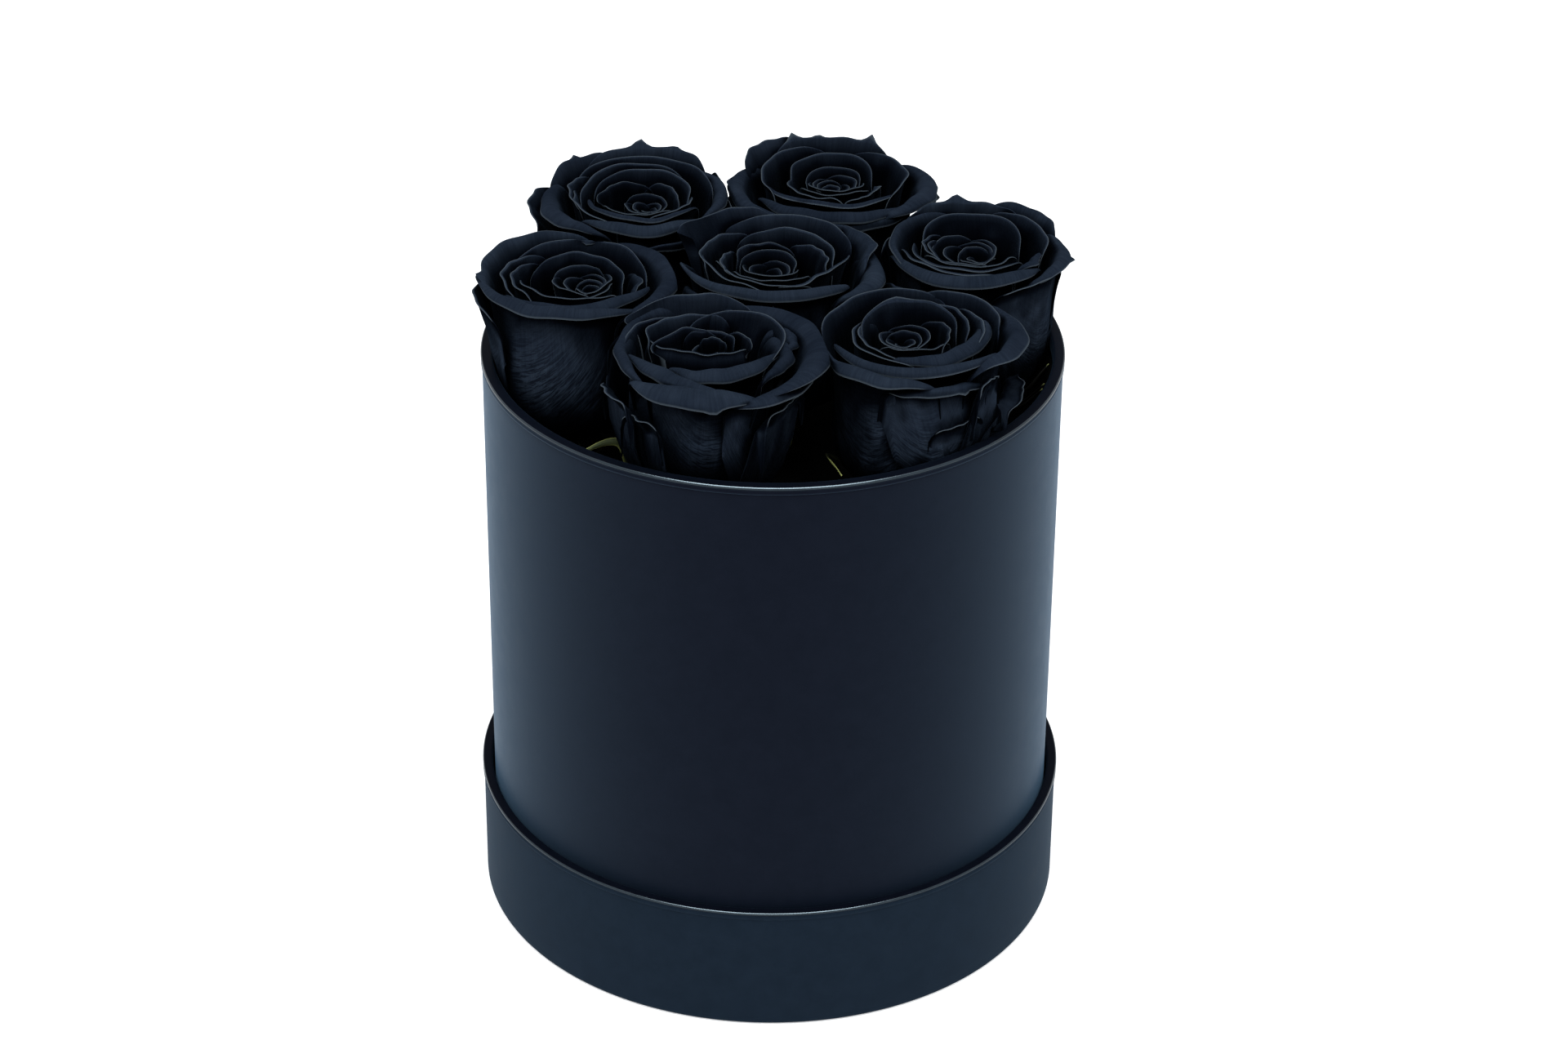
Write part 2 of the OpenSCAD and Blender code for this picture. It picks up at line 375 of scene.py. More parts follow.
def foam_material():
    """Dry floral foam: crumbly closed cells, black with a little green, and painted darker still as the shade
    in the gaps between the roses.
    """
    look = Look("foam_cells")
    at = look.mapped("Object")
    cells = look.cells(at, 900.0)
    crumbs = look.noise(at, 260.0, Detail=6.0, Roughness=0.7)
    # Near-black: black foam, with painted shade for the gaps between the roses
    stops = [(0.35, (0.0004, 0.0004, 0.0004)), (0.7, (0.0015, 0.0018, 0.0015))]
    look.shade(Base_Color=look.ramp(crumbs, stops), Roughness=0.95, Specular_IOR_Level=0.02)
    look.relief((cells, 0.7, 0.0006), (crumbs, 0.6, 0.0012))
    return look.material


def tape_material():
    """Double-sided tape: a white foam carrier."""
    look = Look("tape_carrier")
    grain = look.noise(look.mapped("Object"), 700.0, Detail=4.0)
    tones = [(0.3, (0.62, 0.61, 0.57)), (0.7, (0.78, 0.77, 0.73))]
    look.shade(Base_Color=look.ramp(grain, tones), Roughness=0.6)
    look.relief((grain, 0.3, 0.0002))
    return look.material


def leaf_material():
    """Preserved sepal: olive green, ribbed along its length, paler at the edges and the tip, where glints are
    also painted, and darkened before the tip by painted shade.
    """
    look = Look("sepal_green")
    ribs = look.noise(look.mapped("UV", (26.0, 3.0, 1.0)), 1.0, Detail=4.0, Roughness=0.6)
    green = look.ramp(ribs, [(0.3, (0.016, 0.022, 0.006)), (0.7, (0.050, 0.064, 0.018))])
    # Pale edges, and glints painted on the tips
    pale = look.ramp(look.attribute("margin"), [(0.2, 0.0), (1.0, 1.0)])
    colour = look.mix("MIX", pale, green, SEPAL_PALE_AND_GLINT)
    # Painted shade before the tip
    colour = look.mix("MULTIPLY", look.attribute("seam"), colour, SEPAL_SHADE)
    look.shade(Base_Color=colour, Roughness=0.6, Specular_IOR_Level=0.08)
    look.relief((ribs, 0.5, 0.0004))
    return look.material


def stem_material():
    """Cut stem: dark olive bark with lengthwise ribs and small spots."""
    look = Look("stem_bark")
    ribs = look.noise(look.mapped("Object", (1, 1, 0.06)), 900.0, Detail=4.0, Roughness=0.6)
    spots = look.cells(look.mapped("Object", (1, 1, 0.5)), 420.0)
    green = look.ramp(ribs, [(0.3, (0.028, 0.034, 0.010)), (0.7, (0.090, 0.098, 0.034))])
    spotted = look.mix("MIX", look.ramp(spots, [(0.08, 0.7), (0.16, 0.0)]), green, STEM_SPOT)
    look.shade(Base_Color=spotted, Roughness=0.6, Specular_IOR_Level=0.25)
    look.relief((ribs, 0.5, 0.0003))
    return look.material


PETAL = petal_material()
COVER = fibre_paper(
    "cover_soft_touch", (0.0010, 0.0010, 0.0038), (0.0016, 0.0017, 0.0050), 0.46, 0.022, sheen=0.172)
# The lid's paper is the box's paper painted lighter, as the light that falls low down near the floor
LID_COVER_PAINTED_LIGHTER = fibre_paper(
    "cover_lid", (0.0046, 0.0088, 0.0155), (0.0058, 0.0106, 0.0184), 0.6, 0.016, sheen=0.06)
# The binding is the covering paper again; only its fold has been rubbed shiny
BINDING = fibre_paper(
    "binding_matt", (0.0008, 0.0010, 0.0030), (0.0014, 0.0017, 0.0045), 0.5, 0.012, sheen=0.03, wave=0.03)
FOLD = fibre_paper(
    "binding_fold", (0.004, 0.008, 0.013), (0.006, 0.011, 0.017), 0.22, 0.36, sheen=0.03, wave=0.02,
    tint=(0.8, 0.94, 1.0, 1))
LINING = fibre_paper(
    "lining_matt", (0.0040, 0.0042, 0.0055), (0.0070, 0.0072, 0.0090), 0.75, 0.10, fibre=0.5)
BOARD = fibre_paper("greyboard", (0.17, 0.16, 0.145), (0.26, 0.25, 0.225), 0.85, 0.15, fibre=0.8)
FOAM = foam_material()
TAPE = tape_material()
SEPAL = leaf_material()
STEM = stem_material()


# ------------ the box and the lid
PAPER_THICK = 0.25
STRIP_THICK = 0.4
# How far a cover is turned in under the board, and a binding comes down outside and inside, in mm
TURN_IN = 9.0
OUTER_FOLD = 2.2
INNER_FOLD = 6.0
# Width in degrees and rise in mm of a cover's lap and a binding's, and the degrees between them
COVER_LAP = (6.0, 0.14)
STRIP_LAP = (4.0, 0.1)
LAP_SHIFT = 7.0
# mm of height that one unit of a paper's UV map covers
UV_HEIGHT = 170.0
# The part of a binding's bead that shines, in degrees up from level
SHINY = (-6, 58)


def extent(cad):
    """A round CAD node's outer radius and the heights of its foot and top, in mm."""
    lo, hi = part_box(cad)
    return hi[0] * 1000.0, lo[2] * 1000.0, hi[2] * 1000.0


def mouth_radius(prefix):
    """The radius inside the rim binding, which is folded over the lining."""
    return extent(f"{prefix}_wall_lining")[0] - PAPER_THICK - STRIP_THICK


def arc(cx, cz, r, a0, a1, steps=6):
    """Points of an arc in the (radius, height) plane, from angle a0 to a1 in degrees."""
    angles = [math.radians(a0 + (a1 - a0) * k / steps) for k in range(steps + 1)]
    return [(cx + r * math.cos(angle), cz + r * math.sin(angle)) for angle in angles]


def lathe(name, outline, swell, segs=384):
    """A closed outline in the (radius, height) plane, turned about the axis.

    swell(angle) is added to the radius, for a lap or a seam in the paper."""
    pts = np.array(outline)
    n = len(pts)
    ang = np.linspace(0, 2 * np.pi, segs, endpoint=False)[:, None]
    r = pts[None, :, 0] + swell(ang)
    z = pts[None, :, 1] + 0 * ang
    verts = np.stack([r * np.cos(ang), r * np.sin(ang), z], axis=-1).reshape(-1, 3)
    i, j = np.meshgrid(np.arange(segs), np.arange(n), indexing="ij")
    i2, j2 = (i + 1) % segs, (j + 1) % n
    quads = np.stack([i * n + j, i * n + j2, i2 * n + j2, i2 * n + j], axis=-1).reshape(-1, 4)
    uvs = np.stack([(ang + 0 * r) / (2 * np.pi), z / UV_HEIGHT], axis=-1).reshape(-1, 2)
    return mesh_object(name, verts, quads, uvs)


def lap(start, width, rise):
    """A lap in a sleeve of paper: it rises in one step at start degrees and eases off over width."""
    def swell(ang):
        d = (np.degrees(ang) - start) % 360.0
        return rise * (d < width) * (1 - ease(d / width))
    return swell


def cover_outline(outer, z0, z1, corner=0.9, lip=0.3):
    """A sleeve with a rounded bottom edge, turned in under the board.

    The points lip mm below its top keep the soft shading of that edge off the wall."""
    inner = outer - PAPER_THICK
    return (
        [(outer - TURN_IN, z0)]
        + arc(outer - corner, z0 + corner, corner, -90, 0)
        + [(outer, z0 + (z1 - z0) * k / 6) for k in range(1, 6)]
        + [(outer, z1 - lip), (outer, z1), (inner, z1), (inner, z1 - lip)]
        + arc(outer - corner, z0 + corner, corner - PAPER_THICK, 0, -90)
        + [(outer - TURN_IN, z0 + PAPER_THICK)]
    )


def binding_outline(outer, mouth, top, bead):
    """A strip folded over a rim: a round bead, a crease under it and two flat folds."""
    round_r = min(bead, (outer - mouth) / 2)
    middle = (outer + mouth) / 2
    under = top - STRIP_THICK - 0.1
    foot, inner_foot = top - OUTER_FOLD, top - INNER_FOLD
    return (
        [(mouth, inner_foot), (mouth, top - round_r)]
        + arc(mouth + round_r, top - round_r, round_r, 180, 95)
        + [(middle, top - 0.02)]
        + arc(outer - round_r, top - round_r, round_r, 88, -20, 12)
        + [(outer - 0.22, top - round_r - 0.55), (outer - 0.05, top - round_r - 0.85)]
        + [(outer - 0.03, foot + 0.12), (outer - 0.12, foot), (outer - STRIP_THICK, foot)]
        + [(outer - STRIP_THICK, under), (mouth + STRIP_THICK, under)]
        + [(mouth + STRIP_THICK, inner_foot)]
    )


def paper_shell(prefix, body, mouth, seam, bead, paper):
    """The covering paper and the rim binding of the box or of the lid."""
    outer, z0, z1 = extent(f"{prefix}_cover_paper")
    cover = lathe(f"{prefix}_cover_sleeve", cover_outline(outer, z0, z1), lap(seam, *COVER_LAP))
    rim_r, _, top = extent(f"{prefix}_rim_binding")
    outline = binding_outline(rim_r, mouth, top, bead)
    strip = lathe(f"{prefix}_binding_strip", outline, lap(seam + LAP_SHIFT, *STRIP_LAP))
    # Each face of the strip's outline is matt, shiny or the covering paper, by its place on the bead
    middle = (np.array(outline) + np.roll(outline, -1, axis=0)) / 2 - (rim_r - bead, top - bead)
    angle = np.degrees(np.arctan2(middle[:, 1], middle[:, 0]))
    on_bead = np.abs(np.hypot(middle[:, 0], middle[:, 1]) - bead) < 0.1 * bead
    shiny = on_bead & (angle > SHINY[0]) & (angle < SHINY[1])
    low_fold = (middle[:, 1] < -0.2) & (middle[:, 0] > bead - 0.5)
    patch = np.where(shiny, 1, np.where(low_fold, 2, 0)).astype(np.int32)
    segs = len(strip.data.polygons) // len(outline)
    strip.data.polygons.foreach_set("material_index", np.tile(patch, segs))
    for ob, cad, looks in (
        (cover, f"{prefix}_cover_paper", [paper]), (strip, f"{prefix}_rim_binding", [BINDING, FOLD, paper])
    ):
        for look in looks:
            ob.data.materials.append(look)
        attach(ob, body)
        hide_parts(cad)


MOUTH = mouth_radius("box")
RIM_TOP = extent("box_rim_binding")[2]
paper_shell("box", "box", MOUTH, 88.0, 0.7, COVER)
paper_shell("lid", "lid", mouth_radius("lid"), 97.0, 0.6, LID_COVER_PAINTED_LIGHTER)

PLACES = ("centre", "right", "back_right", "back_left", "left", "front_left", "front_right")
CAD_LOOKS = {
    COVER: ("box_base_paper",),
    LID_COVER_PAINTED_LIGHTER: ("lid_face_paper",),
    LINING: ("box_wall_lining", "box_floor_lining", "lid_wall_lining", "lid_floor_lining"),
    BOARD: ("box_board_wall", "box_board_base", "lid_board_wall", "lid_board_disc"),
    FOAM: ("foam_block",),
    TAPE: ("foam_tape_pads",),
    STEM: tuple(f"rose_{place}_stem" for place in PLACES),
}
for look, names in CAD_LOOKS.items():
    for name in names:
        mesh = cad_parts[name].data
        mesh.materials.clear()
        mesh.materials.append(look)


# ------------ one petal
# Heights in mm: the petals' feet, and the level that their crests are measured from
BASE_Z = 152.0
HEAD_Z = 190.0
# Where each rose stands, in mm, from its stem
AXES = {}
for place in PLACES:
    lo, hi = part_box(f"rose_{place}_stem")
    AXES[place] = ((lo[0] + hi[0]) * 500.0, (lo[1] + hi[1]) * 500.0)

# How far past the middle plane one rose leans into the next
LEANS = {
    ("front_left", "front_right"): 3.4,
    ("left", "front_left"): 1.5,
    ("centre", "right"): 2.5,
    ("back_right", "back_left"): 3.0,
    ("back_right", "right"): 2.0,
    ("centre", "back_left"): 1.0,
    ("left", "back_left"): 1.0,
}
# In mm: how near a neighbour stands, half the gap to it, and the gap to the wall
NEIGHBOUR = 60.0
HALF_GAP = 1.5
WALL_GAP = 1.6


def make_room(axis, x, y, z, soft=1.2):
    """Presses a petal's points away from the box's wall and from the middle plane to each neighbour."""
    mine = next(place for place, at in AXES.items() if at == axis)
    for place, other in AXES.items():
        gap = math.hypot(other[0] - axis[0], other[1] - axis[1])
        lean = LEANS.get((mine, place), 0.0) - LEANS.get((place, mine), 0.0)
        if 1.0 < gap < NEIGHBOUR:
            nx, ny = (other[0] - axis[0]) / gap, (other[1] - axis[1]) / gap
            d = (x - axis[0]) * nx + (y - axis[1]) * ny
            over = np.maximum(d - (gap / 2 - HALF_GAP + lean), 0)
            back = over - soft * (1 - np.exp(-over / soft))
            x, y = x - back * nx, y - back * ny
    # Above the rim the wall no longer holds the petals in
    far = np.hypot(x, y)
    limit = MOUTH - WALL_GAP + 60 * ease((z - RIM_TOP - 1.0) / 14.0)
    over = np.maximum(far - limit, 0)
    keep = (limit + 1.0 * (1 - np.exp(-over))) / np.maximum(far, 1e-6)
    keep = np.where(over > 0, keep, 1.0)
    return x * keep, y * keep


def waves(rng, terms, u):
    """A sum of slow waves over u, each with its height and frequency."""
    return sum(a * np.sin(np.pi * f * u + rng.uniform(0, 6.28)) for a, f in terms)


def petal(sheets, rng, axis, az, half, belly, rim, top, lean, lip=None, drop=1.8, beta=150,
          tips=(), ruffle=0.35, curl=(0, 0), corner=(11, 11), base_w=0.3, foot=4.0, fine=1.0,
          shift=(0, 0), waist=15.0, slant=0.0, dye=(0.3, 1.0), inner=False):
    """One petal as a closed sheet.

    az and half are its middle and half-width in degrees round the rose; belly is its radius low down
    and rim its crest's, at the left, middle and right; top is the crest's height above HEAD_Z and lean
    its angle from upright; lip is how far the rolled edge reaches, drop how far it hangs and beta its
    end's angle; tips are (place, length, width) points on the edge; ruffle is how wavy the crest is;
    curl moves the side edges out; corner rounds off the upper corners; base_w is the foot's share of
    the width and foot its radius; fine scales the number of points across; shift moves the head; waist
    is the belly's height above BASE_Z; slant turns the foot, in degrees; dye is the range of its
    random tone, which the hearts keep low as painted shade; inner means that it isn't an outer petal."""
    nu = int((26 + half * 0.22) * fine)
    if lip is None:
        lip, drop, beta = 0.7, -0.35, lean + 25
    low_rows, wall_rows, lip_rows = 6, 13, 8
    t = np.linspace(-1, 1, nu)[:, None]
    u = 0.62 * t + 0.38 * np.sin(t * np.pi / 2)
    au = np.abs(u)
    rim, top, lip = triple(rim), triple(top, less=1.0), triple(lip, share=0.7)
    wobble = waves(rng, ((0.7, 1.1), (0.45, 2.3), (0.2, 4.3)), u) * ruffle
    rise = waves(rng, ((0.6, 1.4), (0.35, 2.9), (0.12, 5.1)), u) * ruffle
    round_off = 1 - (1 - np.minimum(au, 1) ** 5) ** 0.22
    fall = np.where(u < 0, corner[0], corner[1]) * round_off
    crest_r = across(rim, u, 1.8)
    crest_r = belly + (crest_r - belly) * (1 - 0.75 * round_off) + wobble
    crest_z = HEAD_Z + across(top, u, 2.4) + rise - fall
    reach = np.zeros_like(u)
    for at, length, width in tips:
        point = np.exp(-np.abs(u - at) / width) * 0.6 + 0.4 * np.exp(-((u - at) / width) ** 2)
        reach = reach + length * point
    lean_angle, end_angle = math.radians(lean), math.radians(beta)
    lean_out, lean_up = math.sin(lean_angle), math.cos(lean_angle)
    end_out, end_up = math.sin(end_angle), math.cos(end_angle)
    belly_z = BASE_Z + waist
    belly_r = belly + 0 * u
    # base to belly: a quarter ellipse
    s = np.linspace(0, 1, low_rows, endpoint=False)[None, :]
    low_r = foot + (belly_r - foot) * np.sin(s * np.pi / 2) ** 0.8
    low_z = BASE_Z + (belly_z - BASE_Z) * (1 - np.cos(s * np.pi / 2)) + 0 * u
    # belly to crest
    s = (np.linspace(0, 1, wall_rows, endpoint=False) ** 0.85)[None, :]
    height = np.maximum(crest_z - belly_z, 4.0)
    turn_in = height * (0.9 - 0.35 * lean_out)
    wall_r = hermite(belly_r, 0 * height, crest_r, turn_in * lean_out, s)
    wall_z = hermite(belly_z + 0 * u, height, crest_z, turn_in * lean_up, s)
    # crest to edge
    lip_out = np.maximum(across(lip, u, 2.0) * (1 - au ** 2.6), 0.25)
    share = lip_out / max(lip[1], 0.3)
    lip_out = lip_out + reach
    s = np.linspace(0, 1, lip_rows)[None, :]
    lip_down = drop * np.clip(share, 0.1, 1.3) - reach * math.cos((lean_angle + end_angle) * 0.45) * 0.8
    length = np.hypot(lip_out, lip_down) * 1.25
    lip_r = hermite(crest_r, length * lean_out, crest_r + lip_out, length * end_out, s)
    lip_z = hermite(crest_z, length * lean_up, crest_z - lip_down, length * end_up, s)
    r = np.concatenate([low_r, wall_r, lip_r], axis=1)
    z = np.concatenate([low_z, wall_z, lip_z], axis=1)
    mid = nu // 2
    steps = np.hypot(np.diff(r[mid]), np.diff(z[mid]))
    v = np.concatenate([[0], np.cumsum(steps)])[None, :]
    v = v / v[0, -1]
    up = ease((v - 0.25) / 0.5)
    side = np.clip((au - 0.6) / 0.4, 0, 1) ** 2
    r = r + np.where(u < 0, curl[0], curl[1]) * side * up
    # soft hollows and folds
    fold = sum(
        rng.uniform(0.1, 0.24) * np.sin(2 * np.pi * (fu * u + fv * v) + rng.uniform(0, 6.28))
        for fu, fv in ((0.6, 0.8), (1.4, -0.7), (2.3, 1.2))
    )
    r = r + fold * up * min(1.0, belly / 12.0)
    if not inner:
        ridge = sum(
            a * np.sin(np.pi * f * (u + lean_u * v) + rng.uniform(0, 6.28))
            for a, f, lean_u in ((0.16, 7.3, 0.2), (0.10, 12.1, -0.25), (0.07, 17.7, 0.35))
        )
        r = r + ridge * (1 - ease((v - 0.55) / 0.25)) * ease(v / 0.2)
    width = base_w + (1 - base_w) * ease(v / 0.62)
    angle = np.radians(az + half * u * width + slant * (1 - v))
    x = axis[0] + shift[0] * up + r * np.cos(angle)
    y = axis[1] + shift[1] * up + r * np.sin(angle)
    x, y = make_room(axis, x, y, z)
    grid = np.stack([x, y, z + 0 * x], axis=-1)
    # thin at the edges
    inset = np.minimum(np.minimum((1 - au) / 0.06, (1 - v) / 0.04), 1.0)
    thick = 0.14 + 0.34 * np.sqrt(np.clip(inset, 0, 1))
    # the edges painted pale as a highlight, the low side edges painted dark as the shadow line under the next
    # petal, and the wrinkled outside
    crest = v[0, low_rows + wall_rows]
    below = 1 - ease((v - crest + 0.09) / 0.08)
    flank = ease((v - 0.5) / 0.22) if inner else 0.0
    sides = (1 - np.clip((1 - au) / 0.032, 0, 1)) * flank
    corners = 1 if inner else 1 - 0.95 * ease((au - 0.7) / 0.2)
    edge = np.maximum(sides, (1 - np.clip((1 - v) / 0.02, 0, 1)) * corners)
    turn = rng.uniform(-0.9, 0.9)
    slope = turn * 0.2 * (1 - v)
    sweep = v - 0.42 * (u - 0.6 * turn) ** 2
    uv = np.stack([(u * half / 60.0) * 0.5 * (0.55 + 0.45 * width) + 0.5 + slope, v + 0 * u], axis=-1)
    uv = uv + rng.integers(0, 5)
    tone = rng.uniform(*dye)
    if inner:
        sheets.add(grid, thick, uv, edge, tone, sweep=sweep)
        return
    # Painted shadow line along the low side edges, where the next petal's edge overlaps
    seam = (1 - np.clip((1 - au) / 0.06, 0, 1)) * (1 - ease((v - 0.4) / 0.2))
    # Where the wrinkles are painted in shade and light
    crease = below * (1 - 0.85 * ease((v - 0.45) / 0.4))
    sheets.add(grid, thick, uv, edge, tone, below, seam, crease, sweep)


# ------------ the roses
def spec(az, half, belly, rim, top, lean, **options):
    """What petal() is told for one petal."""
    return dict(az=az, half=half, belly=belly, rim=rim, top=top, lean=lean, **options)


def coil(cx, cy, r, top, turn, arcs):
    """A ring of the heart, of arcs that overlap: its middle, radius, height above HEAD_Z and turn."""
    half = 150 if arcs == 1 else 215 / arcs
    return [
        spec(turn + 360 * k / arcs, half, r - 0.6, (r - 0.7, r, r + 0.7), top, 4 + r, shift=(cx, cy),
             ruffle=0.25, foot=min(r * 0.5, 4.0), base_w=0.7, corner=(4, 4), fine=0.75)
        for k in range(arcs)
    ]


ROSE_SEEDS = {}
ROSE_SHEETS = {}
# Tone range of the heart petals: kept low as painted shade deep in the flower
HEART_PAINTED_SHADE = (0.0, 0.2)


def rose(place, seed, **levels):
    """Makes the sheets of one rose from what petal() is told at each level."""
    ROSE_SEEDS[place] = seed
    rng = np.random.default_rng(seed)
    for level, petals in levels.items():
        sheets = ROSE_SHEETS[place, level] = Sheets()
        for options in petals:
            if level == "heart":
                options.setdefault("dye", HEART_PAINTED_SHADE)
            petal(sheets, rng, AXES[place], inner=level != "outer", **options)


# Each petal: azimuth, half-width, belly radius, crest radii, crest heights above HEAD_Z, lean
rose("front_right", 7, outer=[
    spec(235, 54, 21, (24.5, 24, 22), (3.5, 4.2, 2), 72, lip=(2, 3.5, 3)),
    spec(285, 40, 22.4, (21.6, 22.8, 23.5), (0.6, 0.4, -1), 66, lip=(1, 1.8, 1.6),
         tips=[(0.42, 2.4, 0.06)], slant=30),
    spec(355, 48, 21.2, (23, 25.5, 26), (3, 6, 6.5), 45, lip=(3, 4.5, 3), beta=100),
    spec(45, 46, 20.6, (23, 24, 21), (5, 6.5, 5.5), 25),
    spec(125, 68, 20.4, (19.5, 23, 24), (5, 6.5, 3.5), 20),
    spec(302, 22, 22, (22.5, 23.5, 23), (-14, -11, -12), 20, corner=(6, 6), waist=20),
    spec(322, 12, 23, (24.5, 25.5, 24.5), (-6, 0, -1), 25, curl=(2, 2), waist=28, slant=-16),
    spec(350, 20, 24.5, (25.5, 29.5, 28), (-16, -9.5, -8), 35, curl=(3, 1), waist=28, slant=-26,
         corner=(6, 3)),
], middle=[
    spec(265, 85, 18.6, (21, 19.5, 24), (4.5, 5, 5), 66, lip=(1.5, 2.5, 2)),
    spec(315, 80, 14.4, (12.5, 14.5, 22), (5, 5.5, 6.2), 58, lip=(1.5, 4, 4.5)),
    spec(12, 42, 16.4, (17.5, 18.5, 17), (5, 6.2, 6), 20),
    spec(40, 48, 14.2, (13.5, 15.7, 14.5), (4.6, 6, 6), 12),
    spec(205, 72, 16.2, (14, 16, 15), (4, 5, 5), 12),
    spec(198, 66, 13.8, (12.2, 13.8, 13), (4, 4.8, 4.6), 10),
    spec(95, 98, 12.2, (10.8, 14, 13), (4.3, 7, 4.5), 12, tips=[(0.1, 1, 0.15)]),
], heart=[
    spec(275, 85, 9, (9.5, 7.2, 10.5), (3.6, 3.8, 4.5), 4),
    spec(20, 60, 9.6, (9.6, 10, 8.4), (3.8, 4.6, 3.8), 8, shift=(-0.5, 0)),
    *coil(-2, 0.7, 6.2, 3.4, 210, 2),
    *coil(-2.2, 0.4, 4.3, 2.8, 60, 2),
    *coil(-2.5, -0.2, 2.4, 2.4, 300, 1),
])
rose("front_left", 16, outer=[
    spec(14, 72, 21, (25, 27.5, 24), (4.2, 6.2, 6.8), 66, lip=(3.5, 6, 2.5), waist=20),
    spec(165, 62, 20.4, (28.5, 21.8, 21.5), (8, 6.3, 3.5), 50, lip=(1.5, 2.4, 2.5), waist=20),
    spec(260, 56, 19.6, (23.5, 19.2, 24.2), (3, 4.4, 0.8), 72, lip=(2, 6.8, 2.5), drop=2.6,
         tips=[(0.27, 2.6, 0.07)], waist=26),
    spec(322, 40, 20.8, (22, 25, 26.5), (1.5, 2.7, 3.5), 70, lip=(2, 4, 3.5), waist=22),
    spec(204, 22, 24.5, (26, 28, 26.5), (-4, -1, -2), 22, curl=(1.5, 2), waist=32),
    spec(226, 18, 22.8, (24, 25.5, 24), (-9, -5, -6), 20, curl=(2, 2.5), waist=28),
    spec(326, 24, 23.4, (25, 26, 25), (-7, -2, -3), 22, curl=(4, 1), waist=30, slant=-26),
], middle=[
    spec(104, 48, 18.6, (24.5, 26.4, 26.6), (6.5, 8, 8), 30, corner=(9, 3)),
    spec(150, 40, 18.6, (20, 21.5, 21), (6, 6.3, 5), 18),
    spec(48, 70, 15.2, (15.5, 22, 12), (5, 6.8, 6), 16),
    spec(122, 52, 14.5, (19, 18.5, 15.5), (6, 6.2, 5.6), 20, corner=(9, 4)),
    spec(22, 22, 18.8, (20.5, 22.5, 20), (4.5, 5.5, 4), 60, lip=(1, 3, 1)),
    spec(0, 40, 17.6, (18, 20, 20), (4.3, 5, 4.2), 60, lip=(2.5, 2.5, 1)),
    spec(232, 60, 16.8, (21, 14.8, 21), (5.6, 5, 4.2), 60, lip=(1.2, 4.2, 1.2)),
    spec(290, 84, 12.6, (11, 11.2, 20), (5, 5.4, 6), 52, lip=(0.8, 4.6, 3)),
], heart=[
    spec(262, 55, 12, (17.5, 15.2, 16.5), (6, 5, 5.2), -32, shift=(-1, 14), waist=20, corner=(3, 3),
         dye=(0.3, 0.4)),
    spec(128, 58, 9.5, (8, 11.5, 15.5), (5.6, 6, 6), 6, corner=(5, 3)),
    spec(78, 52, 7, (8, 9.8, 11), (5.2, 5.6, 5.6), 4),
    spec(36, 28, 9, (12.4, 11.6, 8), (5.2, 6, 5.4), 8, corner=(3, 4)),
    spec(75, 40, 4.5, (7, 6.4, 6), (4.6, 5.2, 4.6), 4, corner=(4, 4)),
    *coil(0.5, 4.5, 3.6, 2.6, 120, 2),
    *coil(0.5, 4.5, 1.8, 1.6, 10, 1),
])
rose("left", 25, outer=[
    spec(135, 60, 20.8, (23.5, 25, 23.6), (6.5, 7, 6), 40, lip=(1, 1.3, 1.2), drop=-0.2, beta=70,
         tips=[(0.82, 2.2, 0.08)], corner=(10, 5)),
    spec(10, 66, 21, (22, 24.8, 23.5), (3.5, 5.8, 6.3), 66, lip=(2.5, 4, 2)),
    spec(252, 80, 21.4, (27.5, 19.8, 22.5), (5.6, 6.3, 3.6), 58, lip=(1.2, 3.6, 2.2), corner=(3, 11)),
    spec(188, 34, 22.8, (24, 26.2, 24.5), (0, 2, -1), 12, curl=(0, 1), waist=24),
    spec(322, 26, 22.2, (24, 25, 24), (-2, 0, -2), 40, lip=1.4),
], middle=[
    spec(82, 80, 17.8, (19.5, 20.5, 18.5), (5, 6.4, 5), 20, tips=[(-0.02, -2, 0.08)]),
    spec(280, 86, 16, (20.5, 15.8, 22), (5, 5.4, 5.1), 58, lip=(1, 3.6, 2)),
    spec(165, 50, 16.6, (16.5, 18.6, 17), (5.3, 5.8, 5), 16),
    spec(178, 52, 14.6, (14, 16, 14), (5, 5.2, 4.6), 12),
    spec(250, 92, 13, (15.5, 11.4, 13.4), (4.8, 4.9, 4.7), 12),
    spec(70, 84, 12.6, (13.8, 12.8, 13), (5, 5.8, 5), 12),
    spec(5, 26, 16, (16.5, 17.5, 16.5), (3.5, 4.2, 3.5), 40, lip=0.8, drop=0.2, beta=80),
], heart=[
    spec(300, 80, 9.8, (9.8, 9.6, 10.8), (3.6, 3.8, 4.2), 8),
    *coil(2.2, 2.6, 7.4, 3.7, 100, 3),
    *coil(3.2, 1.6, 5.2, 2.8, 10, 2),
    *coil(4.2, 1, 3.4, 2, 250, 2),
    *coil(4.6, 0.6, 1.9, 1.4, 30, 1),
])
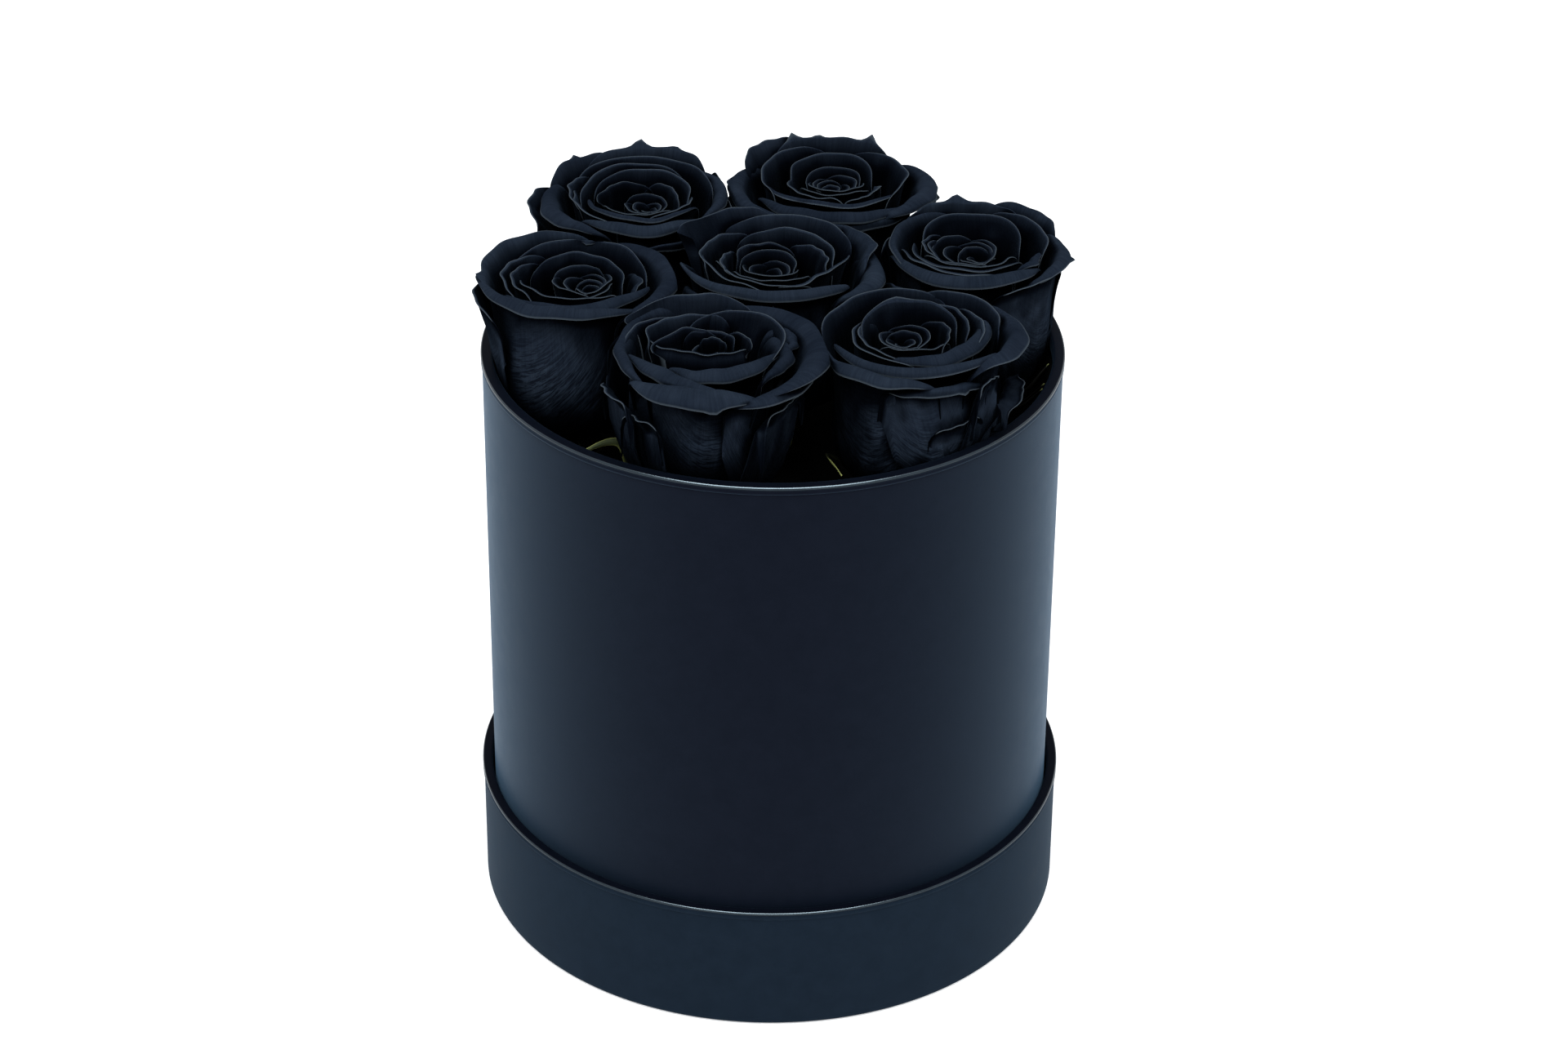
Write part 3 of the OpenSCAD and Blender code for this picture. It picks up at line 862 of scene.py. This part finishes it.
rose("centre", 34, outer=[
    spec(125, 37, 20.8, (26, 28, 29.5), (7, 8.4, 9), 30, corner=(9, 1)),
    spec(75, 52, 20.4, (24.5, 25, 24.5), (5.5, 6.5, 6.5), 30),
    spec(32, 34, 21, (24, 27.5, 25.5), (4, 6.3, 6), 45, lip=(1, 2, 1), drop=0.2, beta=85,
         tips=[(-0.5, 2, 0.1)]),
    spec(-5, 42, 21.4, (23, 26, 27.5), (2, 3, 5), 62, lip=(2, 4.5, 3)),
    spec(262, 84, 20.6, (27, 18.2, 22), (5.3, 5.4, 4), 60, lip=(1.2, 3, 5), corner=(3, 11)),
    spec(215, 30, 21.8, (24, 24, 23), (0, 1, 0), 50, lip=2),
    spec(95, 50, 23, (24.5, 25, 24.5), (-1, 1, -1), 12),
], middle=[
    spec(150, 40, 17.4, (17.5, 19.5, 18.5), (6, 6.2, 5.2), 14, corner=(8, 4)),
    spec(60, 70, 15.4, (16, 17.5, 16.5), (5, 6, 6), 16),
    spec(322, 62, 15.2, (12.5, 14.5, 24), (5, 4.8, 6.3), 25, lip=0.8, drop=0, beta=60),
    spec(240, 82, 14.6, (17, 13, 16), (5.2, 5, 4.4), 18),
    spec(212, 60, 17.4, (22, 16.5, 15.5), (5.6, 5.2, 4.6), 24),
    spec(180, 42, 13, (12.4, 13.6, 12.6), (4.6, 5.4, 4.6), 10),
    spec(28, 46, 11.8, (14.2, 14.2, 10.8), (4.3, 5, 4.3), 12),
], heart=[
    spec(110, 60, 9.6, (9.4, 11, 10.5), (4.2, 5, 4.4), 8),
    spec(262, 90, 9.8, (11.5, 9.4, 11), (3.9, 3.9, 3.9), 10),
    *coil(-1.2, 1.5, 7.4, 3.6, 80, 2),
    *coil(-1, 1.5, 5, 1.8, 200, 2),
    *coil(-1, 1.6, 2.8, 0.8, 330, 1),
])
rose("right", 43, outer=[
    spec(95, 46, 20.8, (23, 23, 23.5), (6, 6.5, 6.5), 28, tips=[(0.05, 2.2, 0.12)]),
    spec(50, 30, 21.3, (25.5, 27, 24.5), (5, 6, 5.5), 40, lip=(1, 1.5, 1), drop=0.3, beta=100),
    spec(350, 44, 21.2, (22.5, 24, 24.5), (1.5, 3.5, 4.5), 50, lip=(2, 3, 2), drop=1, beta=110,
         tips=[(0.02, 2, 0.07)]),
    spec(165, 66, 20.2, (21, 20.8, 21.5), (6, 6, 4), 40, lip=(1, 1.4, 1.5), drop=0.5, beta=110),
    spec(262, 80, 20.2, (22.8, 19, 20.5), (4.8, 5, 4), 66, lip=(2, 4.2, 3.5)),
    spec(225, 28, 21.8, (25, 26, 24), (-2, 0, -2), 55, lip=1.8, curl=(2, 0)),
    spec(325, 44, 22.4, (23.2, 24, 23.8), (1, 2, 1.5), 12, waist=20),
    spec(135, 30, 23.5, (25.5, 26, 25), (-3, 0, -3), 15),
    spec(20, 34, 22.8, (24, 25.5, 24.5), (-3, 0, -3), 15),
], middle=[
    spec(30, 50, 18.4, (19, 21.5, 20), (4.5, 5.7, 5.5), 22),
    spec(250, 96, 16.2, (16, 15.4, 14.5), (5, 4.9, 4.6), 30, lip=0.8, drop=0, beta=60),
    spec(240, 70, 18, (19, 17.2, 17), (5, 4.8, 4.3), 40, lip=0.8, drop=0, beta=60),
    spec(88, 94, 13.6, (13.3, 16, 13), (4.5, 6.4, 4.5), 14),
    spec(332, 22, 17.6, (17, 19, 18), (4.6, 5.2, 4.6), 40, lip=(0.8, 1.8, 0.8), drop=0.8),
    spec(268, 84, 12.6, (13, 12.2, 13), (4.6, 4.6, 4.6), 10),
    spec(182, 56, 12, (11.6, 12.2, 11.6), (4.4, 4.8, 4.2), 10),
], heart=[
    spec(195, 60, 10.4, (10.2, 11, 10.2), (3.8, 4.2, 3.6), 8),
    *coil(-1.8, 0, 8.4, 3.2, 130, 3),
    *coil(-0.4, -0.6, 6.4, 2.6, 20, 2),
    *coil(1.5, -0.8, 4.4, 2, 100, 2),
    *coil(1.8, -1, 2.4, 1.4, 240, 1),
])
rose("back_right", 52, outer=[
    spec(92, 46, 20.6, (23, 23.5, 24.5), (6, 6.5, 6.8), 30,
         tips=[(0.57, 2.4, 0.07), (0.2, 1, 0.06), (-0.57, 2.5, 0.07)]),
    spec(138, 28, 21.2, (26, 28, 26.5), (6.3, 7, 5), 38),
    spec(195, 52, 21.4, (25.5, 27.5, 23), (3.4, 3.6, 3.2), 62, lip=(2, 3.5, 2.5)),
    spec(262, 74, 20.6, (22.5, 19.6, 22), (3.4, 3.9, 3.4), 66, lip=(2.5, 3.5, 4)),
    spec(350, 50, 21, (21.5, 24.5, 23), (2.6, 4.2, 5), 60, lip=(3.5, 4.5, 1.5)),
    spec(292, 46, 21.8, 22.5, (1, 1.4, 1.2), 55, lip=1.6),
    spec(-4, 16, 23.4, (27, 28.5, 27), (-1, 0.5, -1), 50),
    spec(345, 38, 26.5, (28, 28.8, 28), (0, 2, 1), 8, waist=20),
    spec(193, 42, 28.6, (29.4, 29.8, 29.2), (1, 2.5, 1), 6, waist=20),
    spec(156, 24, 29.5, (31.5, 33.5, 32), (-11, -8.5, -12), 10, waist=24),
], middle=[
    spec(152, 58, 18.6, (19.8, 20.6, 19.8), (6.2, 6, 5), 18, corner=(9, 5)),
    spec(20, 60, 17.6, (17.5, 20, 18), (5, 5.8, 5.5), 20),
    spec(262, 90, 16.2, (20.2, 15.8, 18), (4.4, 4.7, 5), 40, lip=(0.9, 1.6, 1.2), drop=0.4, beta=90,
         tips=[(-0.3, -1.6, 0.08), (-0.45, 0.9, 0.1)]),
    spec(92, 92, 12.6, (9.4, 13.6, 12.8), (4.5, 6.2, 4.5), 12),
    spec(225, 62, 12.6, (13.2, 12.4, 11), (4.4, 4.5, 4), 12),
    spec(318, 40, 12.4, (11.4, 12.6, 12.4), (4, 4.4, 4.2), 12, tips=[(0.4, 1.6, 0.1)]),
], heart=[
    spec(268, 88, 9, (9.4, 8.6, 9.8), (4, 4, 4.2), 8),
    *coil(0, 1.5, 7.5, 4, 90, 2),
    *coil(-0.3, 0.4, 5.6, 3, 200, 2),
    *coil(-0.6, 0.2, 3.8, 2.2, 320, 2),
    *coil(-1.4, 0, 2.1, 1.6, 60, 1),
])
rose("back_left", 61, outer=[
    spec(88, 46, 20.8, (25, 26, 25.5), (6.3, 7, 6.5), 34, tips=[(0.12, 2.8, 0.09), (-0.35, 1, 0.08)]),
    spec(138, 34, 21.2, (25.5, 27, 27), (6.5, 6.8, 4.5), 38, tips=[(-0.05, 2.5, 0.035)]),
    spec(176, 30, 24.6, (29, 31.5, 30), (0, 2, -2), 32, curl=(1, 2), waist=30),
    spec(202, 48, 21.2, (25.5, 25.5, 22), (5, 4.8, 4), 66, lip=(2, 3.8, 2)),
    spec(8, 50, 20.4, (20.6, 21.8, 21), (4.5, 5.5, 6), 60, lip=(1.5, 2.4, 1.2)),
    spec(272, 60, 20.4, (21.5, 18.5, 21.5), (4.4, 4.8, 4.6), 70, lip=(2, 3.6, 2.5)),
    spec(352, 40, 24, (25, 25.6, 25), (-1, 1.5, 0), 8, waist=20),
    spec(32, 26, 29.5, (30.5, 31.5, 30.5), (-1, 2, -1), 8, waist=24),
    spec(300, 34, 21.8, (23, 23.5, 23), (0, 0.8, 0), 55, lip=1.2),
], middle=[
    spec(88, 82, 18.4, (19.5, 20.8, 20.2), (5.8, 6.6, 6), 18),
    spec(172, 34, 17.8, (18.5, 20.4, 19), (5.6, 5.8, 4.8), 20, corner=(8, 4)),
    spec(205, 44, 17.6, (20, 19, 17.5), (5.2, 5, 4.4), 25),
    spec(115, 78, 15.8, (16, 17, 17), (5.2, 6.2, 5.2), 14),
    spec(75, 92, 13.2, (11.5, 14, 14.5), (5, 5.8, 4.8), 12),
    spec(262, 94, 14.4, (16, 13.6, 15.5), (4.6, 4.5, 4.6), 45, lip=(0.8, 1.6, 1), drop=0.5),
    spec(325, 52, 13, (11, 12.8, 14), (4.2, 4.4, 4.4), 12),
], heart=[
    spec(130, 58, 9, (8, 10.6, 14), (3.2, 3.8, 4.2), 8, corner=(4, 3)),
    spec(40, 56, 9.4, (10, 9.6, 7.6), (3.4, 3.8, 3.2), 8),
    spec(262, 84, 9.4, (11.5, 8.6, 9.8), (3.4, 3, 3.2), 8),
    *coil(0.6, 1, 5.6, 1.6, 60, 2),
    *coil(1, 0.8, 3.4, 0.6, 180, 2),
    *coil(1.4, 0.6, 1.9, 0.2, 300, 1),
])

# The share of open sky at every petal point, from which the petals' shade and light are painted
sky_openness(ROSE_SHEETS.values(), MOUTH, RIM_TOP)

for (place, level), sheets in ROSE_SHEETS.items():
    ob = sheets.build(f"rose_{place}_{level}_soft")
    ob.data.materials.append(PETAL)
    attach(ob, f"rose_{place}")
    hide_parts(f"rose_{place}_heart" if level == "heart" else f"rose_{place}_{level}_petals")


# ------------ calyx and stems
def sepal(sheets, rng, axis, az, spine, width, twist, pale=(0.3, 0.2, 0.75, 0.8), cup=0.25):
    """A leaf blade along a spine of (reach, sideways, height) points.

    pale is how pale its side edges and its tip are, where along it the tip begins, and how much
    painted shade darkens it before that; on the sepals between the roses the pale tip is a painted glint."""
    edge_pale, tip_pale, tip_start, shade = pale
    nv, nu = 22, 9
    t = np.linspace(0, 1, nv)
    pts = np.array(spine, dtype=float)
    knots = np.linspace(0, 1, len(pts))
    line = np.stack([np.interp(t, knots, pts[:, k]) for k in range(3)], axis=-1)
    for _ in range(2):
        line[1:-1] = 0.25 * line[:-2] + 0.5 * line[1:-1] + 0.25 * line[2:]
    d = unit(np.gradient(line, axis=0))
    side = unit(np.cross(d, (0, 0, 1.0)))
    up = np.cross(side, d)
    turn = np.radians(twist) * t[:, None]
    side, up = side * np.cos(turn) + up * np.sin(turn), up * np.cos(turn) - side * np.sin(turn)
    shoulder = 0.55 + 0.45 * np.sin(np.pi * np.minimum(t / 0.62, 1.0) * 0.5 + 0.35)
    w = (width * shoulder * (1 - t ** 2.4) + 0.12)[None, :, None]
    u = np.linspace(-1, 1, nu)[:, None, None]
    wave = 0.18 * np.sin(9 * t + rng.uniform(0, 6))[None, :, None]
    grid = line[None] + side[None] * u * w + up[None] * (cup * w * u * u + wave * np.abs(u))
    a = math.radians(az)
    x = axis[0] + grid[..., 0] * math.cos(a) - grid[..., 1] * math.sin(a)
    y = axis[1] + grid[..., 0] * math.sin(a) + grid[..., 1] * math.cos(a)
    grid = np.stack([x, y, grid[..., 2]], axis=-1)
    au = np.abs(u[..., 0])
    zero = 0 * au + 0 * t[None, :]
    at_tip = np.clip((t - tip_start) / 0.1, 0, 1)[None, :]
    edge = np.clip((au - 0.55) / 0.45, 0, 1) * edge_pale + tip_pale * at_tip
    thick = 0.15 + 0.35 * (1 - au ** 2) * (1 - 0.6 * t[None, :])
    uv = np.stack([u[..., 0] * 0.5 + 0.5 + zero, t[None, :] + zero], axis=-1)
    # Before its tip the sepal is darkened by painted shade; its pale edge and tip go in as the margin
    sheets.add(grid, thick, uv, edge, rng.uniform(0, 1), seam=shade * (1 - at_tip))


def receptacle(sheets, axis, z0=146.2, z1=157.0, r0=2.6, r1=5.4):
    """The green cup under the petals."""
    t = np.linspace(0, 1, 14)
    r = r0 + (r1 - r0) * np.sin(t * np.pi / 2) ** 1.4
    z = z0 + (z1 - z0) * t
    a = np.linspace(0, 2 * np.pi, 49)[:, None]
    rr = r[None, :] * (1 + 0.02 * np.sin(5 * a))
    grid = np.stack([axis[0] + rr * np.cos(a), axis[1] + rr * np.sin(a), z[None, :] + 0 * a], axis=-1)
    uv = np.stack([a / (2 * np.pi) + 0 * t, t[None, :] + 0 * a], axis=-1)
    sheets.add(grid, 0.8, uv, 0.0, 0.5)


# The hanging sepals' spine: reach, sideways, height
DROOP = [(3.2, 0, 149.5), (5.4, 0, 150.2), (6.8, 0, 148.6), (7.0, 0, 144.0), (6.2, 0, 139.5)]
# Only the tip pale, as a painted glint, and the rest darkened by painted shade
GLINT_TIP = (0.0, 1.6, 0.94, 1.2)
# Sepals that show between the roses: azimuth, spine, half-width, twist, paleness and painted shade, cup.
# The pale tips and the thin strand are painted glints
STANDING = {
    "front_left": [
        (176, [(4, 0, 150), (13, 1, 153), (20.5, 0, 160), (22.5, 1, 168), (27, 2.5, 168.2), (35, 6, 165)],
         1.6, 70, (0.75, 0.3, 0.8, 0.3), -0.5),
    ],
    "front_right": [
        (184, [(4, 0, 150), (12, 0, 153), (22.4, 0, 160), (22.3, 6, 161.5), (21.7, 11.6, 163),
               (20.8, 19, 165.3), (20.3, 26, 167.5)],
         0.36, 70, (0.6, 1.4, 0.5, 0.9)),
    ],
    "right": [
        (320, [(4, 0, 150), (14, 0, 153), (22, 0, 158), (28, 0, 168)], 0.9, 50, GLINT_TIP),
        (308, [(4, 0, 150), (14, 0, 152), (24, 0, 156), (32.5, 0, 166)], 0.8, 40, GLINT_TIP),
        (303, [(4, 0, 150), (16, 0, 152), (27, 0, 157), (35.3, 0, 166.5)], 0.7, 30, GLINT_TIP),
    ],
    "back_left": [
        (350, [(4, 0, 150), (14, 0, 160), (22, 0, 175), (26, 1, 186), (27, 0, 190)],
         1.2, 20, GLINT_TIP),
    ],
}
for place, axis in AXES.items():
    rng = np.random.default_rng(100 + ROSE_SEEDS[place])
    body = f"rose_{place}"
    green = Sheets()
    receptacle(green, axis)
    for k in range(5):
        spine = [(r, rng.uniform(-1, 1) * r * 0.06, z + rng.uniform(-0.6, 0.6)) for r, _, z in DROOP]
        sepal(green, rng, axis, 36 + 72 * k, spine, 3.2 + rng.uniform(-0.4, 0.4), rng.uniform(-15, 15))
    for leaf in STANDING.get(place, ()):
        sepal(green, rng, axis, *leaf)
    ob = green.build(f"{body}_sepals_green")
    ob.data.materials.append(SEPAL)
    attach(ob, body)
    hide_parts(f"{body}_calyx")


# ------------ stage, lights, camera
FLOOR_HALF = 6.0
LIGHT_COLOUR = (0.86, 0.94, 1.0)
# The camera that fits the photograph: lens in mm, angles in degrees, places in metres
LENS = 93.87
PITCH = 30.35
ROLL = 0.548
AIM = (0.0035, 0.0, 0.1132)
DISTANCE = 1.149


def softbox(name, watts, size, place, tilt, lights_matt):
    """A soft area lamp over the front of the object. A gloss lamp leaves matt surfaces alone."""
    lamp = bpy.data.lights.new(name, "AREA")
    lamp.shape = "RECTANGLE"
    lamp.size, lamp.size_y = size
    lamp.energy = watts
    lamp.color = LIGHT_COLOUR
    box = add_object(name, lamp)
    box.location = place
    box.rotation_euler = (math.radians(tilt), 0, 0)
    box.visible_diffuse = lights_matt


def pale_floor():
    """A plain matt floor, lit a little from within so that it stays as pale as the background."""
    mesh = bpy.data.meshes.new("floor")
    s = FLOOR_HALF
    mesh.from_pydata([(-s, -s, 0), (s, -s, 0), (s, s, 0), (-s, s, 0)], [], [(0, 1, 2, 3)])
    floor = add_object("floor", mesh)
    look = Look("floor_white")
    look.shade(Base_Color=(0.85, 0.85, 0.85, 1), Roughness=0.9, Specular_IOR_Level=0.0)
    look.shade(Emission_Color=(1, 1, 1, 1), Emission_Strength=0.35)
    mesh.materials.append(look.material)


def studio_world():
    """An even white surround."""
    world = bpy.data.worlds.new("studio")
    bpy.context.scene.world = world
    world.use_nodes = True
    background = world.node_tree.nodes["Background"]
    background.inputs["Color"].default_value = (1, 1, 1, 1)
    background.inputs["Strength"].default_value = 1.0


def photo_camera():
    """The camera at the photograph's viewing angle."""
    cam = bpy.data.cameras.new("camera")
    cam.sensor_width = 36.0
    cam.lens = LENS
    cam.clip_start = 0.01
    cam.clip_end = 50.0
    ob = add_object("camera", cam)
    pitch, roll = math.radians(PITCH), math.radians(ROLL)
    forward = Vector((0, math.cos(pitch), -math.sin(pitch)))
    up = Vector((0, math.sin(pitch), math.cos(pitch)))
    right = Vector((1, 0, 0))
    x = right * math.cos(roll) + up * math.sin(roll)
    y = up * math.cos(roll) - right * math.sin(roll)
    place = Vector(AIM) - forward * DISTANCE
    ob.matrix_world = Matrix.Translation(place) @ Matrix((x, y, -forward)).transposed().to_4x4()
    bpy.context.scene.camera = ob


pale_floor()
studio_world()
softbox("overhead_softbox", 14.0, (1.3, 0.8), (0, -0.62, 1.15), 31.0, True)
softbox("gloss_softbox", 62.0, (1.1, 0.7), (0, -0.46, 1.25), 22.0, False)
photo_camera()
bpy.context.scene.view_settings.view_transform = "Standard"
